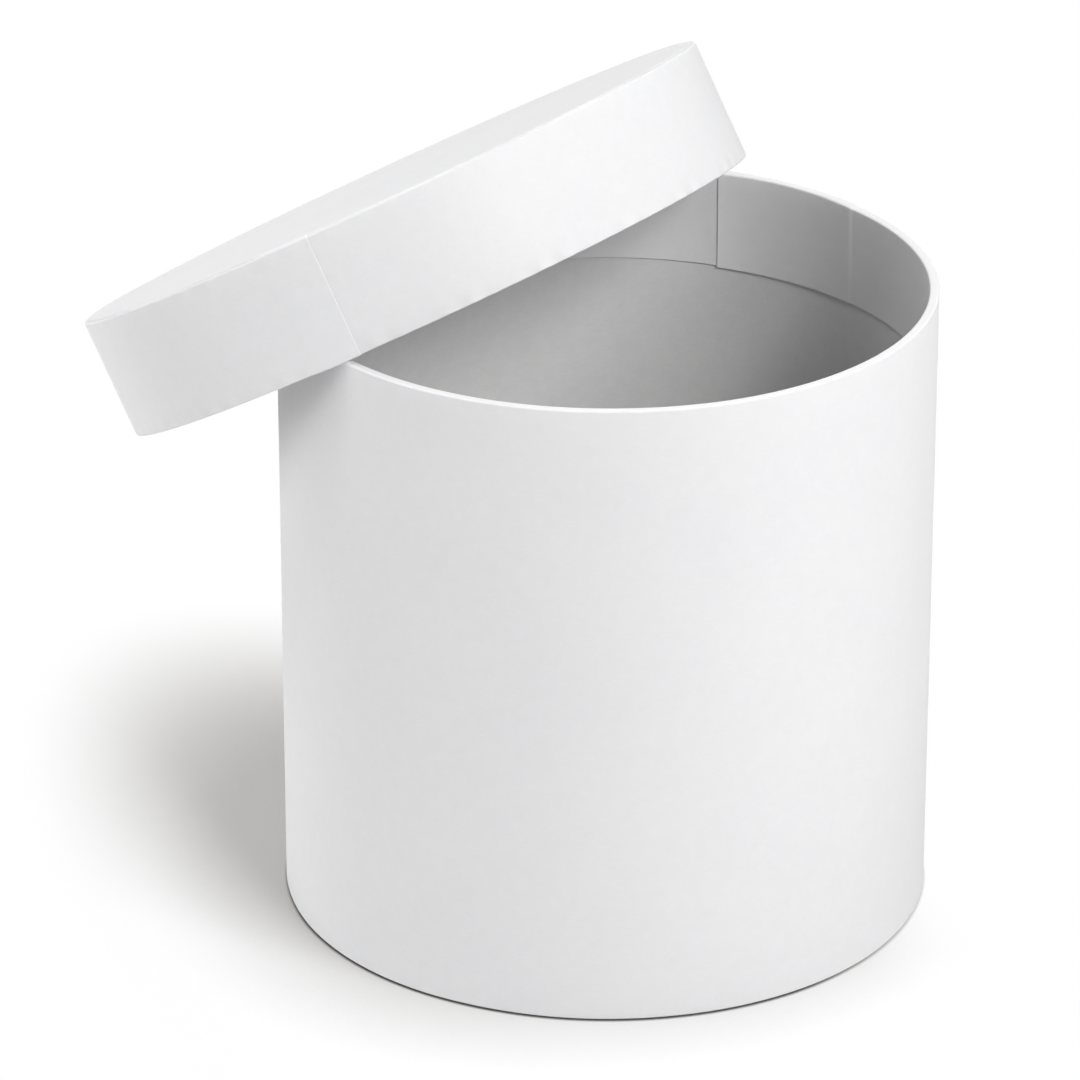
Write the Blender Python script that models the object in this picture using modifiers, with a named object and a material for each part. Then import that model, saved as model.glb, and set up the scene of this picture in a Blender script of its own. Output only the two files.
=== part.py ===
"""Round flower box, open, with its lid leaning on the rim.

Lengths are in metres and +Z is up. The origin is the centre of the underside.
The box is a board tube on a board base, wrapped in one sheet of white paper
that rolls over the rim into a turned-in band and folds under the base. The
lid is a board disc on a board ring, wrapped the same way. Layers that are
glued together keep a thin glue line between them, so each is its own solid.
"""

import math

import bpy
import numpy as np
from mathutils import Matrix, Vector

# Box
BOX_DIAMETER = 0.200
BOX_HEIGHT = 0.199
BODY_BOARD = 0.0016
BASE_BOARD = 0.0025
BAND_HEIGHT = 0.031
TURN_UNDER_WIDTH = 0.015
COVER_INSET = 0.002
BASE_EDGE_RADIUS = 0.0008

# Paper, glue and fits
PAPER = 0.00025
GLUE = 0.0002
LOOSE_FIT = 0.0003

# Lid
LID_HEIGHT = 0.0385
LID_CLEARANCE = 0.0005
LID_BOARD = 0.0012
LID_TOP_BOARD = 0.0025
LID_EDGE_RADIUS = 0.001
TURN_OVER_WIDTH = 0.009
TOP_PAPER_INSET = 0.0012
HEM_HEIGHT = 0.014

# Lap seams, where a sheet's end covers its start
BODY_LAP_WIDTH = 0.047
BODY_LAP_START = math.radians(42)
LID_LAP_WIDTH = 0.011
LID_LAP_START = math.radians(114)
LAP_TRIM = 0.0006
LAP_THICKNESS_SHARE = 1.5

# How the lid leans: its tilt, and the heading of its low side
LID_TILT = math.radians(30)
LID_HEADING = math.radians(147)

# Facets
SIDES = 64
RIM_STEPS = 6
CORNER_STEPS = 2
SLIDE_SAMPLES = 240
SLIDE_HALVINGS = 30
MERGE_DISTANCE = 0.00001
SHARP_ANGLE = math.radians(40)

# Finish of each kind of sheet: colour, roughness and metallic value
FINISHES = {
    "wrap_paper": ((0.86, 0.86, 0.87), 0.62, 0.0),
    "lining_paper": ((0.78, 0.78, 0.78), 0.75, 0.0),
    "grey_board": ((0.62, 0.60, 0.57), 0.90, 0.0),
}

# Layers of the box wall, from the outside to the inside
BOX_RADIUS = BOX_DIAMETER / 2
TUBE_OUTER = BOX_RADIUS - PAPER - GLUE
TUBE_INNER = TUBE_OUTER - BODY_BOARD
LINING_INNER = TUBE_INNER - GLUE - PAPER
BAND_INNER = LINING_INNER - GLUE - PAPER
RIM_RADIUS = (BOX_RADIUS - BAND_INNER) / 2
RIM_CENTRE_Z = BOX_HEIGHT - RIM_RADIUS
RIM_CENTRE_R = BOX_RADIUS - RIM_RADIUS

# Layers of the base, from the underside up
TURN_UNDER_Z = PAPER + GLUE
BASE_BOARD_Z = TURN_UNDER_Z + PAPER + GLUE
BASE_TOP_Z = BASE_BOARD_Z + BASE_BOARD
FLOOR_PAPER_Z = BASE_TOP_Z + GLUE

# Layers of the lid's skirt, from the inside to the outside
HEM_INNER = BOX_RADIUS + LID_CLEARANCE
LID_LINING_INNER = HEM_INNER + PAPER + GLUE
LID_RING_INNER = LID_LINING_INNER + PAPER + GLUE
LID_RING_OUTER = LID_RING_INNER + LID_BOARD
LID_RADIUS = LID_RING_OUTER + GLUE + PAPER
HEM_RADIUS = (LID_RADIUS - HEM_INNER) / 2
HEM_CENTRE_R = LID_RADIUS - HEM_RADIUS

# Layers of the lid's top, from the outside down, above the skirt's lower edge
TOP_PAPER_Z = LID_HEIGHT - PAPER
TURN_OVER_TOP = TOP_PAPER_Z - GLUE
TOP_BOARD_TOP = TURN_OVER_TOP - PAPER - GLUE
TOP_BOARD_Z = TOP_BOARD_TOP - LID_TOP_BOARD
TOP_LINING_Z = TOP_BOARD_Z - GLUE - PAPER

FACET_ANGLE = math.tau / SIDES
QUARTER_TURN = math.pi / 2


def clear_scene():
    """Remove whatever the scene holds."""
    for thing in list(bpy.data.objects):
        bpy.data.objects.remove(thing, do_unlink=True)


def new_collection(name):
    """Add a collection to the scene and return it."""
    collection = bpy.data.collections.new(name)
    bpy.context.scene.collection.children.link(collection)
    return collection


def make_finishes():
    """One material for each kind of sheet."""
    made = {}
    for name, (colour, roughness, metallic) in FINISHES.items():
        material = bpy.data.materials.new(name)
        material.use_nodes = True
        shader = material.node_tree.nodes["Principled BSDF"]
        shader.inputs["Base Color"].default_value = (*colour, 1)
        shader.inputs["Roughness"].default_value = roughness
        shader.inputs["Metallic"].default_value = metallic
        made[name] = material
    return made


def arc(centre_r, centre_z, radius, start, end, steps):
    """Points of an arc in the section plane, from one angle to another."""
    angles = [start + (end - start) * step / steps for step in range(steps + 1)]
    return [(centre_r + radius * math.cos(a), centre_z + radius * math.sin(a)) for a in angles]


def section_mesh(name, points, closed):
    """A mesh of edges that joins the section's points in order."""
    corners = [(r, 0, z) for r, z in points]
    edges = [(i, i + 1) for i in range(len(points) - 1)]
    if closed:
        edges.append((len(points) - 1, 0))
    mesh = bpy.data.meshes.new(name)
    mesh.from_pydata(corners, edges, [])
    return mesh


def turn(thing, facets):
    """Turn the section about the object's Z axis, through that many facets."""
    screw = thing.modifiers.new("turn", "SCREW")
    screw.axis = "Z"
    screw.angle = facets * FACET_ANGLE
    screw.steps = facets
    screw.render_steps = facets
    screw.use_merge_vertices = True
    screw.merge_threshold = MERGE_DISTANCE
    screw.use_smooth_shade = True


def thicken(thing, thickness):
    """Give a turned surface its thickness, behind the face that shows."""
    solidify = thing.modifiers.new("thickness", "SOLIDIFY")
    solidify.thickness = thickness
    solidify.offset = -1
    solidify.use_even_offset = True


def place(thing, group, material, parent):
    """Put an object in its collection, under its parent, in its material."""
    group.objects.link(thing)
    thing.data.materials.append(material)
    thing.parent = parent


def make_board(name, outline, group, material, parent):
    """A board part: a closed outline turned all the way round."""
    board = bpy.data.objects.new(name, section_mesh(name, outline, True))
    place(board, group, material, parent)
    turn(board, SIDES)
    return board


def make_sheet(name, path, group, material, parent):
    """A paper part: an open path turned all the way round, then thickened."""
    sheet = bpy.data.objects.new(name, section_mesh(name, path, False))
    place(sheet, group, material, parent)
    turn(sheet, SIDES)
    thicken(sheet, PAPER)
    return sheet


def make_disc(name, radius, low_z, thickness, group, material, parent):
    """A flat round sheet or board."""
    bpy.ops.mesh.primitive_cylinder_add(vertices=SIDES, radius=radius, depth=thickness)
    disc = bpy.context.object
    disc.name = name
    disc.data.name = name
    for collection in list(disc.users_collection):
        collection.objects.unlink(disc)
    place(disc, group, material, parent)
    disc.location.z = low_z + thickness / 2
    disc.data.shade_smooth()
    disc.data.set_sharp_from_angle(angle=SHARP_ANGLE)
    return disc


def add_lap(sheet, path, start, width, radius, cutters):
    """Join the overlapping end of a sheet to it, over whole facets.

    The end is thicker than the sheet by what it reaches into the layer below.
    """
    facets = max(1, round(width / (radius * FACET_ANGLE)))
    name = sheet.name + "_lap"
    lap = bpy.data.objects.new(name, section_mesh(name, path, False))
    cutters.objects.link(lap)
    lap.parent = sheet.parent
    lap.rotation_euler.z = round(start / FACET_ANGLE) * FACET_ANGLE
    lap.hide_render = True
    lap.display_type = "WIRE"
    turn(lap, facets)
    thicken(lap, PAPER * LAP_THICKNESS_SHARE)
    join = sheet.modifiers.new("lap", "BOOLEAN")
    join.operation = "UNION"
    join.solver = "EXACT"
    join.object = lap


def body_wrap_path(rise, band_low, foot):
    """Face of the box's wrap: up the band, over the rim and down the outside.

    rise lifts the face off the sheet, for the lap. foot is the points at the
    lower end, below the straight outside.
    """
    rim = arc(RIM_CENTRE_R, RIM_CENTRE_Z, RIM_RADIUS + rise, math.pi, 0, RIM_STEPS)
    return [(BAND_INNER - rise, band_low), *rim, *foot]


def make_body_wrap(group, cutters, material):
    """The outer sheet of the box, with its band, turn-under and lap seam."""
    corner_r = BOX_RADIUS - BASE_EDGE_RADIUS
    corner_z = TURN_UNDER_Z + BASE_EDGE_RADIUS
    foot = arc(corner_r, corner_z, BASE_EDGE_RADIUS, 0, -QUARTER_TURN, CORNER_STEPS)
    foot.append((BOX_RADIUS - TURN_UNDER_WIDTH, TURN_UNDER_Z))
    band_low = BOX_HEIGHT - BAND_HEIGHT
    wrap = make_sheet("body_wrap_paper", body_wrap_path(0, band_low, foot), group, material, None)
    lap_foot = [(BOX_RADIUS + PAPER, corner_z + LAP_TRIM)]
    lap_path = body_wrap_path(PAPER, band_low + LAP_TRIM, lap_foot)
    add_lap(wrap, lap_path, BODY_LAP_START, BODY_LAP_WIDTH, BOX_RADIUS, cutters)


def make_body(group, cutters, finishes):
    """Every piece of the box."""
    board, paper, lining = finishes["grey_board"], finishes["wrap_paper"], finishes["lining_paper"]
    board_round = BODY_BOARD / 2
    foot_round = BASE_EDGE_RADIUS - PAPER - GLUE
    board_top = arc(TUBE_INNER + board_round, RIM_CENTRE_Z, board_round, math.pi, 0, RIM_STEPS)
    board_foot = arc(TUBE_OUTER - foot_round, BASE_BOARD_Z + foot_round, foot_round,
                     0, -QUARTER_TURN, CORNER_STEPS)
    make_board("body_board_tube", [*board_top, *board_foot, (TUBE_INNER, BASE_BOARD_Z)],
               group, board, None)
    make_disc("base_board_disc", TUBE_INNER - GLUE, BASE_BOARD_Z, BASE_BOARD, group, board, None)
    make_sheet("body_lining_paper", [(LINING_INNER, FLOOR_PAPER_Z), (LINING_INNER, RIM_CENTRE_Z)],
               group, lining, None)
    make_disc("floor_lining_paper", LINING_INNER - GLUE, FLOOR_PAPER_Z, PAPER, group, lining, None)
    make_body_wrap(group, cutters, paper)
    make_disc("base_cover_paper", BOX_RADIUS - COVER_INSET, 0, PAPER, group, paper, None)


def make_lid_wrap(group, cutters, material, seat):
    """The lid's side sheet, turned over the top edge and hemmed inside."""
    edge_r = LID_RADIUS - LID_EDGE_RADIUS
    edge_z = TURN_OVER_TOP - LID_EDGE_RADIUS
    edge = arc(edge_r, edge_z, LID_EDGE_RADIUS, QUARTER_TURN, 0, CORNER_STEPS)
    hem = arc(HEM_CENTRE_R, HEM_RADIUS, HEM_RADIUS, 0, -math.pi, RIM_STEPS)
    path = [(LID_RADIUS - TURN_OVER_WIDTH, TURN_OVER_TOP), *edge, *hem, (HEM_INNER, HEM_HEIGHT)]
    wrap = make_sheet("lid_skirt_wrap_paper", path, group, material, seat)
    lap_r = LID_RADIUS + PAPER
    lap_path = [(lap_r, edge_z - LAP_TRIM), (lap_r, HEM_RADIUS + LAP_TRIM)]
    add_lap(wrap, lap_path, LID_LAP_START, LID_LAP_WIDTH, LID_RADIUS, cutters)


def make_lid(group, cutters, finishes, seat):
    """Every piece of the lid, standing on its skirt in the seat's own frame."""
    board, paper, lining = finishes["grey_board"], finishes["wrap_paper"], finishes["lining_paper"]
    ring_round = LID_BOARD / 2
    ring_foot = arc(LID_RING_INNER + ring_round, HEM_RADIUS, ring_round, 0, -math.pi, RIM_STEPS)
    ring_top = TOP_BOARD_Z - GLUE
    ring = [(LID_RING_INNER, ring_top), (LID_RING_OUTER, ring_top), *ring_foot]
    make_board("lid_skirt_board", ring, group, board, seat)
    disc_round = LID_EDGE_RADIUS - PAPER - GLUE
    disc_edge = arc(LID_RING_OUTER - disc_round, TOP_BOARD_TOP - disc_round, disc_round,
                    QUARTER_TURN, 0, CORNER_STEPS)
    disc = [(0, TOP_BOARD_TOP), *disc_edge, (LID_RING_OUTER, TOP_BOARD_Z), (0, TOP_BOARD_Z)]
    top = bpy.data.objects.new("lid_top_board", section_mesh("lid_top_board", disc, False))
    place(top, group, board, seat)
    turn(top, SIDES)
    make_disc("lid_top_lining_paper", LID_RING_INNER - GLUE, TOP_LINING_Z, PAPER, group, lining, seat)
    skirt_lining_top = TOP_LINING_Z - GLUE
    make_sheet("lid_skirt_lining_paper",
               [(LID_LINING_INNER, HEM_RADIUS), (LID_LINING_INNER, skirt_lining_top)],
               group, lining, seat)
    make_lid_wrap(group, cutters, paper, seat)
    make_disc("lid_top_paper", LID_RADIUS - TOP_PAPER_INSET, TOP_PAPER_Z, PAPER, group, paper, seat)


def bead_circle(radius, height):
    """Points on the centre line of a rounded edge, as an array."""
    angles = np.linspace(0, math.tau, SIDES * RIM_STEPS, endpoint=False)
    heights = np.full_like(angles, height)
    return np.stack([radius * np.cos(angles), radius * np.sin(angles), heights], axis=-1)


def edge_clearance(turned, origin):
    """Least gap between the rim and the skirt, with the lid's origin there.

    Each wall is a rounded edge on a straight wall, so its surface lies one
    edge radius from its middle line. The columns of turned are the lid's
    axes. Both rounded edges are tested against the other part's wall.
    """
    rim = (bead_circle(RIM_CENTRE_R, RIM_CENTRE_Z) - origin) @ turned
    past_hem = np.maximum(HEM_RADIUS - rim[:, 2], 0)
    to_skirt = np.hypot(np.hypot(rim[:, 0], rim[:, 1]) - HEM_CENTRE_R, past_hem)
    hem = bead_circle(HEM_CENTRE_R, HEM_RADIUS) @ turned.T + origin
    past_rim = np.maximum(hem[:, 2] - RIM_CENTRE_Z, 0)
    to_wall = np.hypot(np.hypot(hem[:, 0], hem[:, 1]) - RIM_CENTRE_R, past_rim)
    return min(to_skirt.min(), to_wall.min()) - RIM_RADIUS - HEM_RADIUS


def lid_turn():
    """Rotation that tilts the lid so that its heading side is the low one."""
    swing = Matrix.Rotation(LID_HEADING, 3, "Z")
    return swing @ Matrix.Rotation(LID_TILT, 3, "Y")


def seat_lid():
    """Origin of the leaning lid, resting on the rim at three places.

    The underside of its top lies on the rim at the heading, which fixes its
    height along its own axis. It then slides down its slope until the lower
    edge of its skirt meets the rim on both sides.
    """
    turned = np.array(lid_turn())
    down_slope, axis = turned[:, 0], turned[:, 2]
    rim_point = RIM_CENTRE_R * math.sin(LID_TILT) + RIM_CENTRE_Z * math.cos(LID_TILT)
    along_axis = rim_point + RIM_RADIUS + LOOSE_FIT - TOP_LINING_Z
    start = np.array([0, 0, along_axis / axis[2]])
    slides = np.linspace(0, BOX_DIAMETER, SLIDE_SAMPLES)
    gaps = np.array([edge_clearance(turned, start + slide * down_slope) for slide in slides])
    best = int(gaps.argmax())
    blocked = best + int(np.argmax(gaps[best:] < LOOSE_FIT))
    free, stopped = slides[blocked - 1], slides[blocked]
    for _ in range(SLIDE_HALVINGS):
        middle = (free + stopped) / 2
        if edge_clearance(turned, start + middle * down_slope) > LOOSE_FIT:
            free = middle
        else:
            stopped = middle
    return Vector(start + free * down_slope)


def make_seat(group):
    """The empty that carries the lid's pieces, at the lid's leaning place."""
    seat = bpy.data.objects.new("lid_seat", None)
    group.objects.link(seat)
    seat.location = seat_lid()
    seat.rotation_euler = lid_turn().to_euler()
    return seat


def main():
    """Build the box and its leaning lid."""
    clear_scene()
    parts = new_collection("round_flower_box")
    cutters = new_collection("lap_layers")
    finishes = make_finishes()
    make_body(parts, cutters, finishes)
    make_lid(parts, cutters, finishes, make_seat(parts))


main()
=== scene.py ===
"""Looks of the round flower box: white paper over board, its lid leaning on the rim.

Every sheet of paper is worked out with numpy: a path in the section plane is carried
round an axis and given the paper's thickness. A sheet that goes round has a lap, where
its end lies on its start. Sizes are read from the frame's own boards and papers, and
lengths are in metres.
"""

import logging
import math
from dataclasses import dataclass, field
from enum import Enum
from typing import ClassVar

import bpy
import numpy as np
from bpy.types import ID, Material, Node, NodeSocket, NodeTree, Object
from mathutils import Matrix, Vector


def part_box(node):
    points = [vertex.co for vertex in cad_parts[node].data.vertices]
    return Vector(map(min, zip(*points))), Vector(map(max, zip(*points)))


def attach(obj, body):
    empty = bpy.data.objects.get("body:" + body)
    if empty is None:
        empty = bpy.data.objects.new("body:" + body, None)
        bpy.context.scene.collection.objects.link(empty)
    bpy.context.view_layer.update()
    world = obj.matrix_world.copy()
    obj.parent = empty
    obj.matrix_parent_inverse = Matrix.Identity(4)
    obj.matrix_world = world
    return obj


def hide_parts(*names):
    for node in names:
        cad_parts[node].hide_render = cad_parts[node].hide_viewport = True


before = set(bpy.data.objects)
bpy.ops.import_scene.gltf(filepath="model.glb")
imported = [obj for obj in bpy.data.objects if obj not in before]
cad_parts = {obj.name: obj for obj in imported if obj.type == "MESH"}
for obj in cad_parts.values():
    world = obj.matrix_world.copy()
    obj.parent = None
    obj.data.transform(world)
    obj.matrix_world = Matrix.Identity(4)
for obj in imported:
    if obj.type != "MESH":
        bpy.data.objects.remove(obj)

LOG = logging.getLogger("round_flower_box")

FULL_TURN = math.tau
HALF_TURN = math.pi
QUARTER_TURN = math.pi / 2

# Fineness of the meshes
TURN_COLUMNS = 640
DISC_COLUMNS = 360
DISC_RINGS = 40
WALL_PITCH = 0.006
EDGE_PITCH = 0.0002
BEND_STEPS = 8
CRISP_ANGLE = math.radians(40)

# Decimals to which two corners, or two angles, count as one
CORNER_DECIMALS = 6
ANGLE_DECIMALS = 7

# A bend of this radius or less counts as a full fold
FOLD_RADIUS = 0.0015

# A sheet's own map and masks
SHEET_MAP = "sheet"
FOLD_MASK = "fold"
CUT_MASK = "cut"
BULGE_MASK = "bulge"

# Waves a metre, and detail, of the noises that all papers share
CLOUDS = (260, 4)
DRIFTS = (22, 2)
FIBRES = (1, 3)
FIBRE_STRETCH = (500, 1500, 1)
RUBBED_PATCHES = (140, 5)

# What those noises do
NOISE_MIDDLE = 0.5
GLOSS_SWING = 0.12
RUBBED_RANGE = (0.35, 0.65)
WORN_ROUGHENING = 0.25

# Sockets of a colour Mix node: its factor and colours, and its result
MIX_INPUTS = (0, 6, 7)
MIX_RESULT = 2

# Rays that the floor's nearness to the object is worked out with
NEARNESS_SAMPLES = 8

Array = np.ndarray
Pair = tuple[float, float]
Colour = tuple[float, float, float]


class Way(Enum):
    """Which way a sheet runs round its axis, from its covered end."""

    FORWARD = 1
    BACKWARD = -1


class Slot(Enum):
    """The record's material slots."""

    WRAP = "wrap_paper"
    LINING = "lining_paper"
    BOARD = "grey_board"


class Body(Enum):
    """The frame's bodies."""

    BOX = "box"
    LID = "lid"


def smooth_step(share: Array) -> Array:
    """Ease from 0 to 1: with s the share held between 0 and 1, s * s * (3 - 2 s)."""
    held = np.clip(share, 0, 1)
    return held * held * (3 - 2 * held)


def corners_of(node: str) -> Array:
    """Corners of a frame node.

    Args:
        node: the node's name.

    Returns:
        One row of x, y and z for each corner.
    """
    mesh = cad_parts[node].data
    flat = np.empty(len(mesh.vertices) * 3, np.float32)
    mesh.vertices.foreach_get("co", flat)
    return flat.reshape(-1, 3).astype(float)


@dataclass(frozen=True)
class Seat:
    """Where something turned stands: a point on its axis, and its own x, y and z in rows."""

    origin: Array
    axes: Array

    @classmethod
    def standing(cls, node: str) -> "Seat":
        """Seat of an upright round node, at the centre of its underside.

        Args:
            node: the node that stands there.

        Returns:
            A seat with the frame's own directions.
        """
        low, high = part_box(node)
        centre = (low + high) / 2
        return cls(np.array([centre.x, centre.y, low.z]), np.eye(3))

    @classmethod
    def leaning(cls, node: str) -> "Seat":
        """Seat of a flat round node that leans, with x down its slope.

        z is the direction in which the corners spread least, turned to point up. x is
        the steepest way down in the node's plane, and y is z cross x. The origin is
        the middle of the corners' reach along each direction.

        Args:
            node: a flat round node.

        Returns:
            The seat, its origin at the node's centre.
        """
        corners = np.unique(corners_of(node).round(CORNER_DECIMALS), axis=0)
        spread = np.linalg.svd(corners - corners.mean(axis=0), full_matrices=False)[2]
        up = spread[2] * np.sign(spread[2][2])
        down_slope = up * up[2] - np.array([0, 0, 1])
        down_slope /= np.linalg.norm(down_slope)
        axes = np.stack([down_slope, np.cross(up, down_slope), up])
        seen = corners @ axes.T
        return cls((seen.min(axis=0) + seen.max(axis=0)) / 2 @ axes, axes)

    def seen(self, points: Array) -> Array:
        """Points in the seat's own directions: each, less the origin, times the axes."""
        return (points - self.origin) @ self.axes.T

    def place(self, radius: Array, angle: Array, height: Array) -> Array:
        """Points: origin + radius * (cos(angle) * x + sin(angle) * y) + height * z."""
        own = np.broadcast_arrays(radius * np.cos(angle), radius * np.sin(angle), height)
        return np.stack(own, axis=-1) @ self.axes + self.origin


@dataclass(frozen=True)
class Reach:
    """How far a frame node reaches, seen from a seat."""

    inner: float
    outer: float
    low: float
    high: float

    @classmethod
    def of(cls, node: str, seat: Seat) -> "Reach":
        """Least and greatest radius and height of a node's corners.

        Args:
            node: the node's name.
            seat: the seat that they are measured from.

        Returns:
            The node's reach.
        """
        x, y, height = seat.seen(corners_of(node)).T
        radius = np.hypot(x, y)
        return cls(radius.min(), radius.max(), height.min(), height.max())


def arc(centre: Pair, radius: float, start: float, end: float) -> Array:
    """Points of an arc: centre + radius * (cos, sin) of angles from start to end."""
    angle = np.linspace(start, end, BEND_STEPS + 1)
    return np.array(centre) + radius * np.stack([np.cos(angle), np.sin(angle)], axis=1)


def wrapped_edge(inside: float, outside: float, edge: float, corner: float) -> Array:
    """Path of paper round the edge of a board, from its inner face to its outer one.

    It is two quarter circles with a flat between them. A rim's edge is above the board
    and a hem's is below it, which a negative corner says.

    Args:
        inside: radius of the inner face.
        outside: radius of the outer face.
        edge: height of the flat.
        corner: radius of the quarter circles, negative where the edge looks down.

    Returns:
        Rows of radius and height.
    """
    size, turn = abs(corner), math.copysign(QUARTER_TURN, corner)
    height = edge - corner
    return np.vstack([arc((inside + size, height), size, 2 * turn, turn),
                      arc((outside - size, height), size, turn, 0)])


def joined(*stretches: Array) -> Array:
    """One path through all the stretches, with straights between them filled in.

    A straight longer than WALL_PITCH gets evenly spaced points, each the start plus
    an equal share of the way to the end.

    Args:
        stretches: rows of radius and height.

    Returns:
        Rows of radius and height.
    """
    corners = np.vstack(stretches)
    pieces = []
    for start, end in zip(corners[:-1], corners[1:]):
        count = max(1, math.ceil(np.linalg.norm(end - start) / WALL_PITCH))
        shares = np.arange(count)[:, None] / count
        pieces.append(start + shares * (end - start))
    return np.vstack([*pieces, corners[-1:]])


def directions(path: Array) -> Array:
    """Unit directions of a path's steps: each step over its length."""
    steps = np.diff(path, axis=0)
    return steps / np.linalg.norm(steps, axis=1, keepdims=True)


def with_crisp_ends(path: Array) -> Array:
    """The path with one more point EDGE_PITCH from each end, so that cut edges stay crisp.

    Args:
        path: rows of radius and height.

    Returns:
        The longer path.
    """
    way = directions(path)
    first = path[:1] + way[:1] * EDGE_PITCH
    last = path[-1:] - way[-1:] * EDGE_PITCH
    return np.vstack([path[:1], first, path[1:-1], last, path[-1:]])


def face_normals(path: Array) -> Array:
    """Unit normals on the side that shows.

    Each is the mean direction of the steps beside the point, turned a quarter turn to
    the left: (-height part, radius part).

    Args:
        path: rows of radius and height.

    Returns:
        One normal for each point of the path.
    """
    way = directions(path)
    mean = np.vstack([way[:1], way[:-1] + way[1:], way[-1:]])
    mean /= np.linalg.norm(mean, axis=1, keepdims=True)
    return np.stack([-mean[:, 1], mean[:, 0]], axis=1)


def fold_mask(path: Array) -> Array:
    """How sharply a path bends at each point, from 0 on a straight to 1 in a fold.

    It is the angle between the steps beside the point, over their mean length, times
    FOLD_RADIUS, and at most 1.

    Args:
        path: rows of radius and height.

    Returns:
        One value for each point of the path.
    """
    way = directions(path)
    turn = np.arccos(np.clip((way[:-1] * way[1:]).sum(axis=1), -1, 1))
    lengths = np.linalg.norm(np.diff(path, axis=0), axis=1)
    bend = turn / ((lengths[:-1] + lengths[1:]) / 2)
    return np.pad(np.clip(bend * FOLD_RADIUS, 0, 1), 1)


def both_faces(values: Array) -> Array:
    """Values along the front of a sheet, and again back along its other face."""
    return np.concatenate([values, values[..., ::-1]], axis=-1)


@dataclass(frozen=True)
class Unevenness:
    """Slow waves in a hand-wrapped surface."""

    depth: float = 0.00004
    length: float = 0.09
    seed: int = 1
    counts: tuple[int, ...] = (2, 3, 5, 8, 12)

    def over(self, angle: Array, along: Array) -> Array:
        """Height of the waves at each angle and each place along the path.

        It is the sum over the wave counts of cos(count * angle + a) *
        cos(half turn * count * along / length + b), times the depth over the square
        root of how many counts there are. a and b are phases drawn from the seed.

        Args:
            angle: angles round the axis.
            along: lengths along the path, or radii on a disc.

        Returns:
            An array of their broadcast shape.
        """
        draw = np.random.default_rng(self.seed)
        total = np.zeros(np.broadcast_shapes(angle.shape, along.shape))
        for count in self.counts:
            first, second = draw.uniform(0, FULL_TURN, 2)
            round_wave = np.cos(count * angle + first)
            along_wave = np.cos(HALF_TURN * count * along / self.length + second)
            total += round_wave * along_wave
        return total * self.depth / math.sqrt(len(self.counts))


@dataclass(frozen=True)
class Lap:
    """Where a sheet's end lies on its start. Angles are in degrees round the axis.

    Bare says how much of the paper's core colour shows at the free end, from 0 to 1. On the lid
    it is 1, which also makes a painted highlight along the seam.
    """

    covered: float
    free: float
    way: Way
    ramp: float = 0.004
    film: float = 0.00003
    curl: float = 0.00006
    curl_length: float = 0.003
    bare_core_and_highlight: float = 0.3

    def overlap(self) -> float:
        """Angle between the covered end and the free one, the way that the sheet runs."""
        return math.radians((self.free - self.covered) * self.way.value % 360)

    def travel(self, radius: float) -> Array:
        """Angles that the sheet has run at each column, finer at its ends and its ramp.

        Args:
            radius: the sheet's radius, which turns lengths into angles.

        Returns:
            Rising angles, from 0 to a full turn plus the overlap.
        """
        end = FULL_TURN + self.overlap()
        even = np.linspace(0, end, TURN_COLUMNS)
        ramp = FULL_TURN - np.linspace(0, self.ramp / radius, BEND_STEPS)
        crisp = np.array([EDGE_PITCH, self.curl_length / 2, self.curl_length]) / radius
        angles = np.concatenate([even, ramp, crisp, end - crisp])
        return np.unique(angles.round(ANGLE_DECIMALS))

    def rise(self, travel: Array, thickness: float, radius: float) -> Array:
        """How far the sheet stands off its own start.

        It eases from 0 to the thickness plus the glue film over the ramp before a full
        turn, and eases up by the curl again just before the free end.

        Args:
            travel: angles that the sheet has run.
            thickness: the sheet's thickness.
            radius: the sheet's radius.

        Returns:
            One height for each angle.
        """
        ramp, curl = self.ramp / radius, self.curl_length / radius
        end = FULL_TURN + self.overlap()
        climb = smooth_step((travel - FULL_TURN + ramp) / ramp)
        lift = smooth_step((travel - end + curl) / curl)
        return (thickness + self.film) * climb + self.curl * lift


def linked(name: str, data: ID) -> Object:
    """A new object, in the scene.

    Args:
        name: the object's name.
        data: its mesh, lamp or camera.

    Returns:
        The object.
    """
    thing = bpy.data.objects.new(name, data)
    bpy.context.scene.collection.objects.link(thing)
    return thing


def between_rings(number: Array) -> Array:
    """Quads from each ring of corners to the next: two neighbours, and the two beyond.

    Args:
        number: corner numbers, one row for each ring.

    Returns:
        Rows of four corner numbers.
    """
    beside = np.roll(number, -1, axis=1)
    quads = np.stack([number[:-1], beside[:-1], beside[1:], number[1:]], axis=-1)
    return quads.reshape(-1, 4)


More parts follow.
